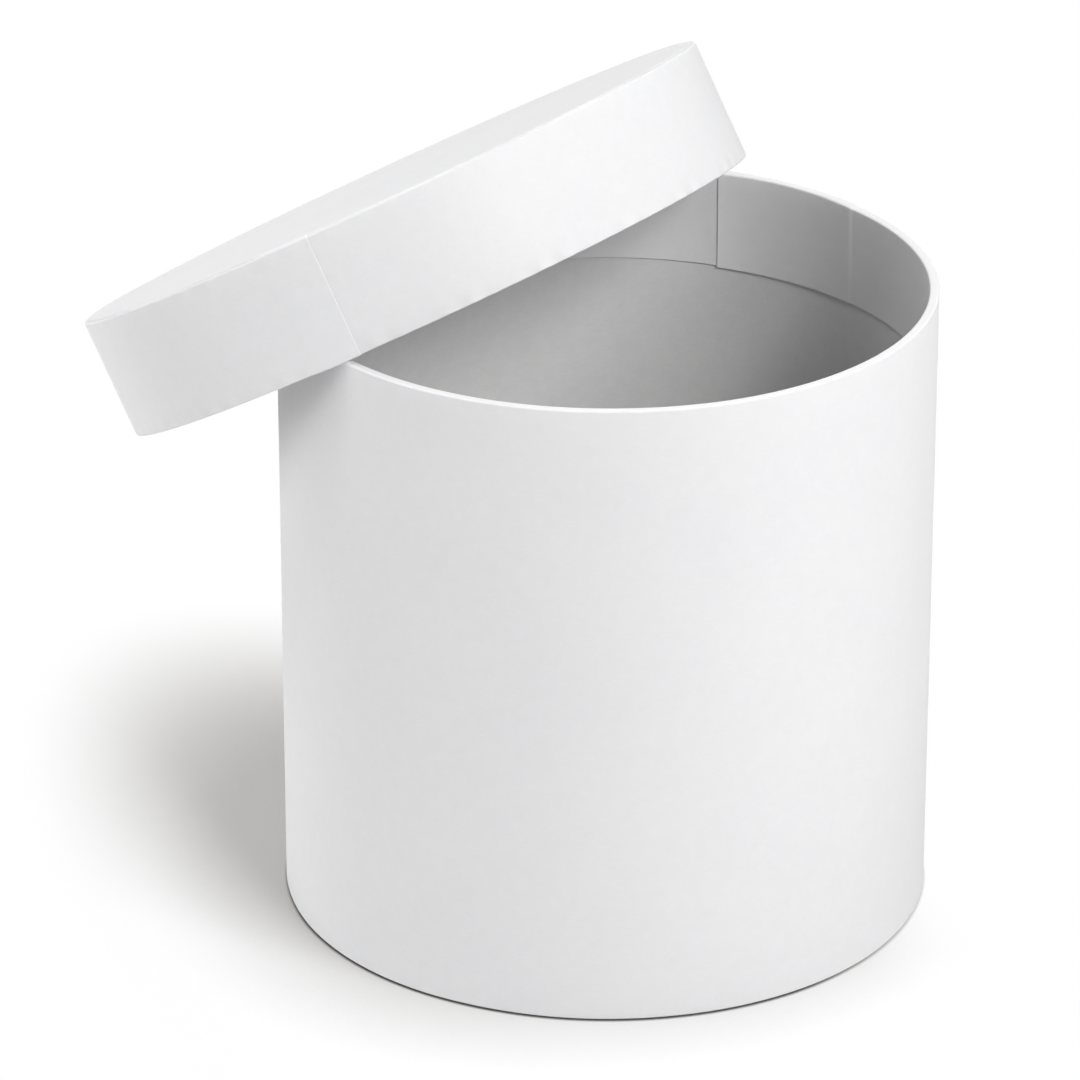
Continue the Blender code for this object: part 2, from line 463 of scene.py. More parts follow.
def closed_mesh(name: str, points: Array, faces: list[Array], flat: Array,
                masks: dict[str, Array]) -> Object:
    """A smooth-shaded object with crisp edges, its faces turned outwards.

    The faces point outwards if the volume is positive: a sixth of the sum over the
    face triangles of first corner . (second corner x third corner).

    Args:
        name: the object's name.
        points: rows of x, y and z.
        faces: rows of corner numbers, one array for each size of face.
        flat: each point's place on the flat sheet, in metres.
        masks: values from 0 to 1 for each point, by name.

    Returns:
        The object, in the scene.
    """
    fans = [part[:, [0, k - 1, k]] for part in faces for k in range(2, part.shape[1])]
    a, b, c = (points - points.mean(axis=0))[np.vstack(fans).T]
    if (a * np.cross(b, c)).sum() < 0:
        faces = [part[:, ::-1] for part in faces]
    mesh = bpy.data.meshes.new(name)
    mesh.from_pydata(points, [], [face for part in faces for face in part.tolist()])
    layer = mesh.uv_layers.new(name=SHEET_MAP)
    owner = np.empty(len(mesh.loops), np.int32)
    mesh.loops.foreach_get("vertex_index", owner)
    layer.uv.foreach_set("vector", flat[owner].astype(np.float32).ravel())
    for mask, values in masks.items():
        attribute = mesh.attributes.new(mask, "FLOAT", "POINT")
        attribute.data.foreach_set("value", values.astype(np.float32).ravel())
    mesh.shade_smooth()
    mesh.set_sharp_from_angle(angle=CRISP_ANGLE)
    return linked(name, mesh)


@dataclass(frozen=True)
class Sheet:
    """A sheet of paper that goes round an axis, its end lapped over its start.

    The skew is how much longer the sheet's first edge has grown by its free end, since
    no sheet is cut quite square. The crimps are where its folded margin is gathered.
    A sheet that bulges has a mask that says how far the lap is bent beyond round.
    """

    path: Array
    thickness: float
    radius: float
    lap: Lap
    unevenness: Unevenness
    crimps: Unevenness | None = None
    skew: float = 0
    trapped_from: float | None = None
    trapped_share: float = 0.5
    bulges: bool = False

    def free_share(self) -> Array:
        """Share of the lap's rise along the path: all of it, less under another sheet.

        Returns:
            One share for each point of the path.
        """
        share = np.ones(len(self.path))
        if self.trapped_from is not None:
            level = np.abs(face_normals(self.path)[:, 1]) > math.cos(CRISP_ANGLE)
            share[level & (self.path[:, 0] < self.trapped_from)] = self.trapped_share
        return share

    def build(self, name: str, seat: Seat) -> Object:
        """The sheet as a closed solid.

        At each column the path's points are moved along their normals by the lap's
        rise, the waves, and the crimps times the fold mask. The first edge is moved
        out by the skew times the share of the turn. The back is the same points, one
        thickness further in. Front and back make a loop, which is joined from column
        to column and closed at both ends.

        Args:
            name: the object's name.
            seat: where it stands.

        Returns:
            The sheet's object.
        """
        normals = face_normals(self.path)
        steps = np.linalg.norm(np.diff(self.path, axis=0), axis=1)
        along = np.concatenate([[0], np.cumsum(steps)])
        travel = self.lap.travel(self.radius)
        angle = math.radians(self.lap.covered) + self.lap.way.value * travel
        rise = self.lap.rise(travel, self.thickness, self.radius)[:, None] * self.free_share()
        waves = self.unevenness.over(angle[:, None], along[None, :])
        if self.crimps is not None:
            waves += self.crimps.over(angle[:, None], along[None, :]) * fold_mask(self.path)
        front = self.path + (rise + waves)[..., None] * normals
        shift = self.skew * travel[:, None] / travel[-1]
        front[:, :2] -= shift[..., None] * directions(self.path)[0]
        back = front - self.thickness * normals
        loop = np.concatenate([front, back[:, ::-1]], axis=1)
        points = seat.place(loop[..., 0], angle[:, None], loop[..., 1]).reshape(-1, 3)
        flat = np.broadcast_arrays(travel[:, None] * self.radius, both_faces(along))
        return closed_mesh(name, points, [self.quads(len(travel))],
                           np.stack(flat, axis=-1).reshape(-1, 2), self.masks(travel, normals))

    def quads(self, columns: int) -> Array:
        """Faces round the sheet, and over its two ends.

        An end is closed from each front point to the back point behind it.

        Args:
            columns: how many columns the sheet has.

        Returns:
            Rows of four corner numbers.
        """
        half = len(self.path)
        number = np.arange(columns * 2 * half).reshape(columns, 2 * half)
        front, back = number[:, :half], number[:, :half - 1:-1]
        caps = np.stack([front[:, :-1], back[:, :-1], back[:, 1:], front[:, 1:]], axis=-1)
        return np.vstack([between_rings(number), caps[0], caps[-1][:, ::-1]])

    def masks(self, travel: Array, normals: Array) -> dict[str, Array]:
        """Where the sheet is folded, where it is cut, and where its lap bulges.

        Args:
            travel: angles that the sheet has run.
            normals: unit normals of the path.

        Returns:
            For each mask, one row of values for each angle.
        """
        edges = np.zeros(len(self.path))
        edges[[0, -1]] = 1
        cut = np.tile(both_faces(edges), (len(travel), 1))
        # The ends take the lap's share of the core's colour; on the lid this is also a painted
        # highlight along the seam.
        cut[[0, -1]] = self.lap.bare_core_and_highlight
        fold = np.tile(both_faces(fold_mask(self.path)), (len(travel), 1))
        masks = {FOLD_MASK: fold, CUT_MASK: cut}
        if self.bulges:
            masks[BULGE_MASK] = both_faces(self.bulge(travel, normals))
        return masks

    def bulge(self, travel: Array, normals: Array) -> Array:
        """Bulge over the lap's share s: 4 s (1 - s) times the inward part of the normal."""
        share = np.clip((travel - FULL_TURN) / self.lap.overlap(), 0, 1)
        return (4 * share * (1 - share))[:, None] * np.clip(-normals[:, 0], 0, 1)


@dataclass(frozen=True)
class Disc:
    """A flat round sheet of paper, with its cut edge and what shows through it.

    The press is how far its edge is pushed on to the sheet behind it, up if positive.
    """

    radius: float
    low: float
    high: float
    unevenness: Unevenness
    calm_share: float = 0.25
    step_at: float = 0
    step: float = 0
    step_width: float = 0.004
    pleats: int = 0
    press: float = 0
    press_width: float = 0.0012
    press_thinning: float = 0.6

    def relief(self, radius: Array, angle: Array) -> Array:
        """Height of the paper over its flat: the waves, and a margin that shows through.

        The waves fade in over the calm share of the radius, so that they meet at the
        centre. Inside step_at the paper eases by the step. Outside it, the margin's
        pleats show: a third of the step times cos(pleats * angle) to the fourth power.

        Args:
            radius: distances from the centre.
            angle: angles round it.

        Returns:
            One height for each place.
        """
        calm = smooth_step(radius / (self.calm_share * self.radius))
        inside = smooth_step((self.step_at - radius) / self.step_width)
        folds = np.cos(self.pleats * angle) ** 4 / 3 if self.pleats else 0
        return (self.unevenness.over(angle, radius) * calm
                + self.step * (inside + (1 - inside) * folds))

    def build(self, name: str, seat: Seat) -> Object:
        """The disc as a closed solid.

        Rings at evenly spaced radii lie on the upper face and again on the lower one,
        joined round the edge and to a point at each centre. Over the press width the
        edge eases by the press, and its outer face comes in by the press thinning
        times the thickness.

        Args:
            name: the object's name.
            seat: where it lies.

        Returns:
            The disc's object.
        """
        even = self.radius * np.arange(1, DISC_RINGS) / DISC_RINGS
        pressed = self.radius - self.press_width * np.linspace(1, 0, BEND_STEPS, endpoint=False)
        radii = np.concatenate([even, pressed, [self.radius - EDGE_PITCH / 2, self.radius]])
        angle = np.linspace(0, FULL_TURN, DISC_COLUMNS, endpoint=False)
        rings, across = np.meshgrid(radii, angle, indexing="ij")
        share = smooth_step((rings - self.radius) / self.press_width + 1)
        relief = self.relief(rings, across) + self.press * share
        thinner = share * self.press_thinning * (self.high - self.low)
        top = self.high + relief - (thinner if self.press < 0 else 0)
        bottom = self.low + relief + (thinner if self.press > 0 else 0)
        dip = float(self.relief(np.zeros(1), np.zeros(1))[0])
        poles = np.array([self.high + dip, self.low + dip])
        points = np.concatenate([seat.place(rings, across, top),
                                 seat.place(rings, across, bottom)[::-1]]).reshape(-1, 3)
        points = np.vstack([points, seat.place(np.zeros(2), np.zeros(2), poles)])

        count = 2 * len(radii)
        number = np.arange(count * DISC_COLUMNS).reshape(count, DISC_COLUMNS)
        beside = np.roll(number, -1, axis=1)
        upper_pole, lower_pole = (np.full(DISC_COLUMNS, number.size + k) for k in (0, 1))
        triangles = np.vstack([np.stack([upper_pole, beside[0], number[0]], axis=-1),
                               np.stack([lower_pole, number[-1], beside[-1]], axis=-1)])
        cut = np.zeros(len(points))
        cut[number[len(radii) - 1:len(radii) + 1]] = 1
        masks = {FOLD_MASK: np.zeros(len(points)), CUT_MASK: cut}
        return closed_mesh(name, points, [between_rings(number), triangles],
                           seat.seen(points)[:, :2], masks)


class Tree:
    """Short ways to fill a node tree."""

    def __init__(self, tree: NodeTree) -> None:
        """Keep the tree that is filled."""
        self.tree = tree

    def feed(self, socket: NodeSocket, value: object) -> None:
        """Give a socket its value, or link an output to it.

        Args:
            socket: the input.
            value: its value, or the output that feeds it.
        """
        if isinstance(value, NodeSocket):
            self.tree.links.new(value, socket)
        else:
            socket.default_value = value

    def add(self, kind: str, settings: dict | None = None, *terms: object,
            **inputs: object) -> Node:
        """A new node.

        Args:
            kind: the node's type name, without ShaderNode.
            settings: values of the node's own properties.
            terms: a value or an output for each of the first inputs.
            inputs: the same for inputs by name, with _ for a space.

        Returns:
            The node.
        """
        node = self.tree.nodes.new("ShaderNode" + kind)
        for name, value in (settings or {}).items():
            setattr(node, name, value)
        for socket, term in zip(node.inputs, terms):
            self.feed(socket, term)
        self.fill(node, **inputs)
        return node

    def fill(self, node: Node, **inputs: object) -> None:
        """Give a node's inputs values or outputs, by name, with _ for a space."""
        for name, value in inputs.items():
            self.feed(node.inputs[name.replace("_", " ")], value)

    def calc(self, operation: str, *terms: object) -> NodeSocket:
        """Result of a Math node, from numbers or outputs."""
        return self.add("Math", {"operation": operation}, *terms).outputs[0]

    def vector(self, operation: str, *terms: object, **inputs: object) -> Node:
        """A Vector Math node, from vectors or outputs."""
        return self.add("VectorMath", {"operation": operation}, *terms, **inputs)

    def mixed(self, *terms: object) -> NodeSocket:
        """A colour mixed from two.

        Args:
            terms: the share of the second colour, the first colour and the second.

        Returns:
            The mixed colour.
        """
        node = self.add("Mix", {"data_type": "RGBA"})
        for number, term in zip(MIX_INPUTS, terms):
            self.feed(node.inputs[number], term)
        return node.outputs[MIX_RESULT]

    def eased(self, value: NodeSocket, start: Pair, end: Pair = (0, 1)) -> NodeSocket:
        """A value eased from one range to another.

        Args:
            value: the output that is eased.
            start: the two values between which it changes.
            end: what they become.

        Returns:
            The eased output.
        """
        return self.add("MapRange", {"interpolation_type": "SMOOTHSTEP"}, Value=value,
                        From_Min=start[0], From_Max=start[1],
                        To_Min=end[0], To_Max=end[1]).outputs[0]

    def noise(self, vector: NodeSocket, scale: float, detail: float) -> NodeSocket:
        """Noise about one half, at so many waves a metre."""
        return self.add("TexNoise", Vector=vector, Scale=scale, Detail=detail).outputs["Fac"]

    def openness(self, reach: float) -> NodeSocket:
        """How open a place is within a reach, from 0 to 1."""
        return self.add("AmbientOcclusion", {"samples": NEARNESS_SAMPLES},
                        Distance=reach).outputs["AO"]


def shared_group(name: str, inputs: dict[str, str],
                 outputs: dict[str, str]) -> tuple[Tree, dict[str, NodeSocket], Node]:
    """A new shader node group.

    Args:
        name: the group's name.
        inputs: the kind of each input, by name.
        outputs: the kind of each output, by name.

    Returns:
        The tree to fill, its inputs' sockets by name, and its output node.
    """
    group = bpy.data.node_groups.new(name, "ShaderNodeTree")
    for in_out, ports in (("INPUT", inputs), ("OUTPUT", outputs)):
        for port, kind in ports.items():
            group.interface.new_socket(port, in_out=in_out, socket_type="NodeSocket" + kind)
    start = group.nodes.new("NodeGroupInput")
    end = group.nodes.new("NodeGroupOutput")
    return Tree(group), {socket.name: socket for socket in start.outputs if socket.name}, end


def paper_grain_group() -> NodeTree:
    """Cloudy tone, fibres and surface relief of a sheet of paper.

    The clouds are noise on the piece itself. The fibres are noise on the flat sheet,
    drawn out along it.

    Returns:
        The group, with Color, Roughness and Height outputs.
    """
    tree, given, end = shared_group(
        "paper_grain",
        {"Place": "Vector", "Sheet": "Vector", "Color": "Color", "Cloud": "Float",
         "Streak": "Float", "Tint": "Float", "Roughness": "Float", "Relief": "Float",
         "Fibre": "Float"},
        {"Color": "Color", "Roughness": "Float", "Height": "Float"})
    pulled = tree.add("Mapping", Vector=given["Sheet"], Scale=FIBRE_STRETCH).outputs["Vector"]
    noises = (tree.noise(given["Place"], *CLOUDS), tree.noise(given["Place"], *DRIFTS),
              tree.noise(pulled, *FIBRES))
    swings = [tree.calc("SUBTRACT", noise, NOISE_MIDDLE) for noise in noises]
    tone = 1
    for swing, amount in zip(swings, ("Cloud", "Cloud", "Streak")):
        tone = tree.calc("MULTIPLY_ADD", swing, given[amount], tone)
    shade = tree.vector("SCALE", Vector=given["Color"], Scale=tone).outputs[0]
    warm = tree.calc("MULTIPLY", swings[1], given["Tint"])
    shift = tree.add("CombineXYZ", X=warm, Z=tree.calc("MULTIPLY", warm, -1)).outputs[0]
    height = tree.calc("MULTIPLY", noises[0], given["Relief"])
    tree.fill(end, Color=tree.vector("ADD", shade, shift).outputs[0],
              Roughness=tree.calc("MULTIPLY_ADD", swings[0], GLOSS_SWING, given["Roughness"]),
              Height=tree.calc("MULTIPLY_ADD", noises[2], given["Fibre"], height))
    return tree.tree


def edge_wear_group() -> NodeTree:
    """Wear of paper along its folds, and the core's colour at its cut edges, which at the lid's
    seam is also a painted highlight.

    Returns:
        The group, with Color and Roughness outputs.
    """
    tree, given, end = shared_group(
        "edge_wear",
        {"Place": "Vector", "Color": "Color", "Roughness": "Float", "Fold": "Float",
         "Cut": "Float", "Core": "Color", "Amount": "Float"},
        {"Color": "Color", "Roughness": "Float"})
    rubbed = tree.eased(tree.noise(given["Place"], *RUBBED_PATCHES), RUBBED_RANGE)
    worn = tree.calc("MULTIPLY", tree.calc("MULTIPLY", given["Fold"], rubbed), given["Amount"])
    folded = tree.mixed(worn, given["Color"], given["Core"])
    bare_core_and_highlight = tree.calc("MAXIMUM", worn, given["Cut"])
    rough = tree.calc("MULTIPLY_ADD", bare_core_and_highlight, WORN_ROUGHENING, given["Roughness"])
    tree.fill(end, Color=tree.mixed(given["Cut"], folded, given["Core"]),
              Roughness=tree.calc("MINIMUM", rough, 1))
    return tree.tree


def new_material(name: str) -> tuple[Material, Tree, Node]:
    """A new material.

    Args:
        name: the material's name.

    Returns:
        The material, its tree and its Principled shader.
    """
    material = bpy.data.materials.new(name)
    material.use_nodes = True
    nodes = material.node_tree.nodes
    return material, Tree(material.node_tree), nodes["Principled BSDF"]


@dataclass(frozen=True)
class PaperFinish:
    """A kind of paper: its colour, its gloss and how its surface varies."""

    slot: Slot
    colour: Colour
    core: Colour
    roughness: float
    cloud: float
    streak: float
    tint: float
    relief: float
    fibre: float
    wear: float
    specular: float = 0.4
    bulge: float = 0

    def material(self, groups: dict[str, NodeTree]) -> Material:
        """The paper's material.

        Args:
            groups: the shared node groups, by name.

        Returns:
            A material that reads the piece's own coordinates, sheet map and masks.
        """
        material, tree, shader = new_material(self.slot.value)
        place = tree.add("TexCoord").outputs["Object"]
        sheet = tree.add("UVMap", {"uv_map": SHEET_MAP}).outputs["UV"]
        fold, cut, bulge = (tree.add("Attribute", {"attribute_name": mask}).outputs["Fac"]
                            for mask in (FOLD_MASK, CUT_MASK, BULGE_MASK))
        grain = tree.add("Group", {"node_tree": groups["paper_grain"]}, Place=place, Sheet=sheet,
                         Color=(*self.colour, 1), Cloud=self.cloud, Streak=self.streak,
                         Tint=self.tint, Roughness=self.roughness, Relief=self.relief,
                         Fibre=self.fibre)
        worn = tree.add("Group", {"node_tree": groups["edge_wear"]}, Place=place,
                        Color=grain.outputs["Color"], Roughness=grain.outputs["Roughness"],
                        Fold=fold, Cut=cut, Core=(*self.core, 1), Amount=self.wear)
        height = tree.calc("MULTIPLY_ADD", bulge, self.bulge, grain.outputs["Height"])
        bump = tree.add("Bump", Strength=1, Distance=1, Height=height)
        tree.fill(shader, Base_Color=worn.outputs["Color"], Roughness=worn.outputs["Roughness"],
                  Normal=bump.outputs["Normal"], Specular_IOR_Level=self.specular)
        return material


@dataclass(frozen=True)
class BoardFinish:
    """Grey board pressed from recycled paper, with dark and light flecks.

    Each colour has its place on the ramp over the flecks' noise.
    """

    colours: tuple[Colour, ...] = (
        (0.16, 0.15, 0.14), (0.40, 0.37, 0.33), (0.62, 0.60, 0.56))
    places: tuple[float, ...] = (0.30, 0.40, 0.72)
    roughness: float = 0.9
    flecks: Pair = (900, 3)
    relief: float = 0.00003

    def material(self) -> Material:
        """The board's material: a colour ramp over fine noise, and the noise as relief.

        Returns:
            A material that reads the node's own coordinates.
        """
        material, tree, shader = new_material(Slot.BOARD.value + "_flecked")
        flecks = tree.noise(tree.add("TexCoord").outputs["Object"], *self.flecks)
        ramp = tree.add("ValToRGB", Fac=flecks)
        stops = ramp.color_ramp.elements
        stops.new(self.places[1])
        for stop, place, colour in zip(stops, self.places, self.colours):
            stop.position, stop.color = place, (*colour, 1)
        bump = tree.add("Bump", Strength=1, Distance=self.relief, Height=flecks)
        tree.fill(shader, Base_Color=ramp.outputs["Color"], Normal=bump.outputs["Normal"],
                  Roughness=self.roughness)
        return material


WRAP_FINISH = PaperFinish(Slot.WRAP, colour=(0.86, 0.86, 0.87), core=(0.96, 0.957, 0.95),
                          roughness=0.55, cloud=0.045, streak=0.045, tint=0.004,
                          relief=0.00004, fibre=0.000015, wear=0.35, bulge=-0.0008)
LINING_FINISH = PaperFinish(Slot.LINING, colour=(0.76, 0.757, 0.755), core=(0.84, 0.83, 0.81),
                            roughness=0.8, cloud=0.09, streak=0.09, tint=0.008,
                            relief=0.00005, fibre=0.00002, wear=0.2, specular=0.3)


class Finishes:
    """The object's materials, each made once."""

    def __init__(self) -> None:
        """Build the shared node groups and the materials that use them."""
        groups = {"paper_grain": paper_grain_group(), "edge_wear": edge_wear_group()}
        self.by_slot = {
            Slot.WRAP: WRAP_FINISH.material(groups),
            Slot.LINING: LINING_FINISH.material(groups),
            Slot.BOARD: BoardFinish().material(),
        }

    def dress(self, piece: Object, slot: Slot, body: Body, *nodes: str) -> None:
        """Give a new piece its material, its body and the nodes that it stands for.

        Args:
            piece: the piece.
            slot: the record's slot that its finish belongs to.
            body: the body that it rides on.
            nodes: the frame nodes that it replaces.
        """
        piece.data.materials.append(self.by_slot[slot])
        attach(piece, body.value)
        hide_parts(*nodes)
        triangles = len(piece.data.loops) - 2 * len(piece.data.polygons)
        LOG.info("%s stands for %s: %d triangles", piece.name, ", ".join(nodes), triangles)

    def dress_node(self, node: str, slot: Slot) -> None:
        """Give a frame node that stays the finish of its slot."""
        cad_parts[node].material_slots[0].material = self.by_slot[slot]
        LOG.info("%s stays, in %s", node, slot.value)


@dataclass
class PaperedPart:
    """Boards of the frame that stay, and the papers round them, by the node each stands for."""

    BODY: ClassVar[Body]
    BOARDS: ClassVar[tuple[str, ...]]
    WRAPS: ClassVar[tuple[str, ...]]

    seat: Seat
    pieces: dict[str, Object] = field(default_factory=dict)

    def reaches(self, *nodes: str) -> list[Reach]:
        """How far each of these nodes reaches, seen from the part's seat."""
        return [Reach.of(node, self.seat) for node in nodes]

    def lining(self, node: str, lap: Lap, unevenness: Unevenness) -> Sheet:
        """The paper on the inside of a wall, as high and as thick as its node.

        Args:
            node: the node that it stands for.
            lap: where its ends lie.
            unevenness: its waves.

        Returns:
            The sheet.
        """
        reach = Reach.of(node, self.seat)
        wall = joined(np.array([[reach.inner, reach.low], [reach.inner, reach.high]]))
        return Sheet(with_crisp_ends(wall), reach.outer - reach.inner, reach.inner, lap,
                     unevenness)

    def disc(self, node: str, unevenness: Unevenness, **margin: float) -> Disc:
        """A flat round paper, as wide and as thick as its node, with its margin's values."""
        reach = Reach.of(node, self.seat)
        return Disc(reach.outer, reach.low, reach.high, unevenness, **margin)

    def dress(self, finishes: Finishes) -> None:
        """Give each paper and board its finish.

        Args:
            finishes: the object's materials.
        """
        for node, piece in self.pieces.items():
            slot = Slot.WRAP if node in self.WRAPS else Slot.LINING
            finishes.dress(piece, slot, self.BODY, node)
        for node in self.BOARDS:
            finishes.dress_node(node, Slot.BOARD)


@dataclass
class BoxBody(PaperedPart):
    """The box: its papers, round the boards of the frame."""

    BODY = Body.BOX
    BOARDS = ("body_board_tube", "base_board_disc")
    WRAPS = ("body_wrap_paper", "base_cover_paper")

    band_height: float = 0.031
    rim_corner: float = 0.00055
    foot_radius: float = 0.0008
    skew: float = 0.0006
    margin_step: float = 0.00012
    margin_pleats: int = 36
    cover_press: float = 0.00014
    lap: Lap = Lap(covered=39.4, free=69, way=Way.FORWARD, ramp=0.002)
    lining_lap: Lap = Lap(covered=262, free=250, way=Way.BACKWARD)

    def wrap_sheet(self) -> Sheet:
        """The outer sheet: up the band, over the rim, down the wall and in under the base.

        Its layers lie one paper and one glue line outside the board and inside the
        lining. The rim is as high above the lining as half the distance between them.

        Returns:
            The sheet.
        """
        board, lining, cover, wrap, floor = self.reaches(
            "body_board_tube", "body_lining_paper", "base_cover_paper", "body_wrap_paper",
            "floor_lining_paper")
        paper = cover.high - cover.low
        glue = lining.inner - floor.outer
        outside = board.outer + glue + paper
        inside = lining.inner - glue - paper
        top = lining.high + (outside - inside) / 2
        foot_centre = (outside - self.foot_radius, cover.high + glue + self.foot_radius)
        path = joined(
            np.array([[inside, top - self.band_height]]),
            wrapped_edge(inside, outside, top, self.rim_corner),
            arc(foot_centre, self.foot_radius, 0, -QUARTER_TURN),
            np.array([[wrap.inner, cover.high + glue]]))
        return Sheet(with_crisp_ends(path), paper, outside, self.lap, Unevenness(seed=3),
                     skew=self.skew, trapped_from=cover.outer, bulges=True)

    def build(self) -> None:
        """Work out the box's four papers."""
        margin = Reach.of("body_wrap_paper", self.seat).inner
        lining = self.lining("body_lining_paper", self.lining_lap,
                             Unevenness(depth=0.00005, seed=5))
        floor = self.disc("floor_lining_paper", Unevenness(seed=7))
        cover = self.disc("base_cover_paper", Unevenness(depth=0, seed=9), step_at=margin,
                          step=self.margin_step, pleats=self.margin_pleats,
                          press=self.cover_press)
        self.pieces = {
            "body_wrap_paper": self.wrap_sheet().build("wrap_sheet", self.seat),
            "body_lining_paper": lining.build("wall_lining_sheet", self.seat),
            "floor_lining_paper": floor.build("floor_lining_sheet", self.seat),
            "base_cover_paper": cover.build("base_cover_sheet", self.seat),
        }


@dataclass
class Lid(PaperedPart):
    """The lid: its papers, round the boards of the frame, where the frame leans it."""

    BODY = Body.LID
    BOARDS = ("lid_top_board", "lid_skirt_board")
    WRAPS = ("lid_skirt_wrap_paper", "lid_top_paper")

    edge_radius: float = 0.0007
    hem_corner: float = 0.0005
    hem_height: float = 0.014
    margin_step: float = -0.00006
    cover_press: float = -0.00016
    crimps: Unevenness = Unevenness(depth=0.00005, seed=19, counts=(61, 83, 107))
    # The lid's free edge is painted wholly in the core's colour: its cut core, and a painted
    # highlight along the seam.
    lap: Lap = Lap(covered=107, free=114, way=Way.FORWARD, ramp=0.006, curl=0.00003, bare_core_and_highlight=1)
    lining_lap: Lap = Lap(covered=300, free=306, way=Way.FORWARD)

    def wrap_sheet(self) -> Sheet:
        """The side sheet: over the top edge, down the skirt, and hemmed up inside it.

        Returns:
            The sheet.
        """
        ring, lining, cover, wrap, under = self.reaches(
            "lid_skirt_board", "lid_skirt_lining_paper", "lid_top_paper",
            "lid_skirt_wrap_paper", "lid_top_lining_paper")
        paper = cover.high - cover.low
        glue = ring.inner - under.outer
        outside = ring.outer + glue + paper
        inside = lining.inner - glue - paper
        turned_top = cover.low - glue
        edge_centre = (outside - self.edge_radius, turned_top - self.edge_radius)
        path = joined(
            np.array([[wrap.inner, turned_top]]),
            arc(edge_centre, self.edge_radius, QUARTER_TURN, 0),
            wrapped_edge(inside, outside, wrap.low, -self.hem_corner)[::-1],
            np.array([[inside, wrap.low + self.hem_height]]))
        return Sheet(with_crisp_ends(path), paper, outside, self.lap,
                     Unevenness(seed=11, depth=0.00003, length=0.05), self.crimps,
                     trapped_from=cover.outer)

    def build(self) -> None:
        """Work out the lid's four papers."""
        margin = Reach.of("lid_skirt_wrap_paper", self.seat).inner
        top = self.disc("lid_top_paper", Unevenness(seed=15), step_at=margin,
                        step=self.margin_step, press=self.cover_press)
        lining = self.lining("lid_skirt_lining_paper", self.lining_lap,
                             Unevenness(depth=0.00003, seed=13))
        under = self.disc("lid_top_lining_paper", Unevenness(seed=17))
        self.pieces = {
            "lid_skirt_wrap_paper": self.wrap_sheet().build("lid_wrap_sheet", self.seat),
            "lid_top_paper": top.build("lid_top_sheet", self.seat),
            "lid_skirt_lining_paper": lining.build("lid_skirt_lining_sheet", self.seat),
            "lid_top_lining_paper": under.build("lid_top_lining_sheet", self.seat),
        }


class Lights(Enum):
    """What a lamp lights: the object and all round it, or the floor that the camera sees."""

    OBJECT = "EXCLUDE"
    SHADOW = "INCLUDE"


@dataclass(frozen=True)
class Softbox:
    """A square lamp that faces the box. Angles are in degrees, headings to the camera's right."""

    name: str
    heading: float
    lift: float
    side: float
    power: float
    lights: Lights = Lights.OBJECT
    distance: float = 2.0

    def build(self, target: Vector, seen_floor: Object) -> None:
        """The lamp, turned to its target.

        Args:
            target: the point that it faces.
            seen_floor: the floor that the camera sees, which has a lamp of its own.
        """
        heading, lift = math.radians(self.heading), math.radians(self.lift)
        away = Vector((math.sin(heading) * math.cos(lift), -math.cos(heading) * math.cos(lift),
                       math.sin(lift)))
        lamp = bpy.data.lights.new(self.name, "AREA")
        lamp.shape = "SQUARE"
        lamp.size = self.side
        lamp.energy = self.power
        thing = linked(self.name, lamp)
        thing.location = target + away * self.distance
        thing.rotation_euler = (-away).to_track_quat("-Z", "Y").to_euler()
        thing.visible_camera = False
        receivers = bpy.data.collections.new(self.name + "_receivers")
        receivers.objects.link(seen_floor)
        receivers.collection_objects[0].light_linking.link_state = self.lights.value
        thing.light_linking.receiver_collection = receivers
        LOG.info("lamp %s: %g W", self.name, self.power)


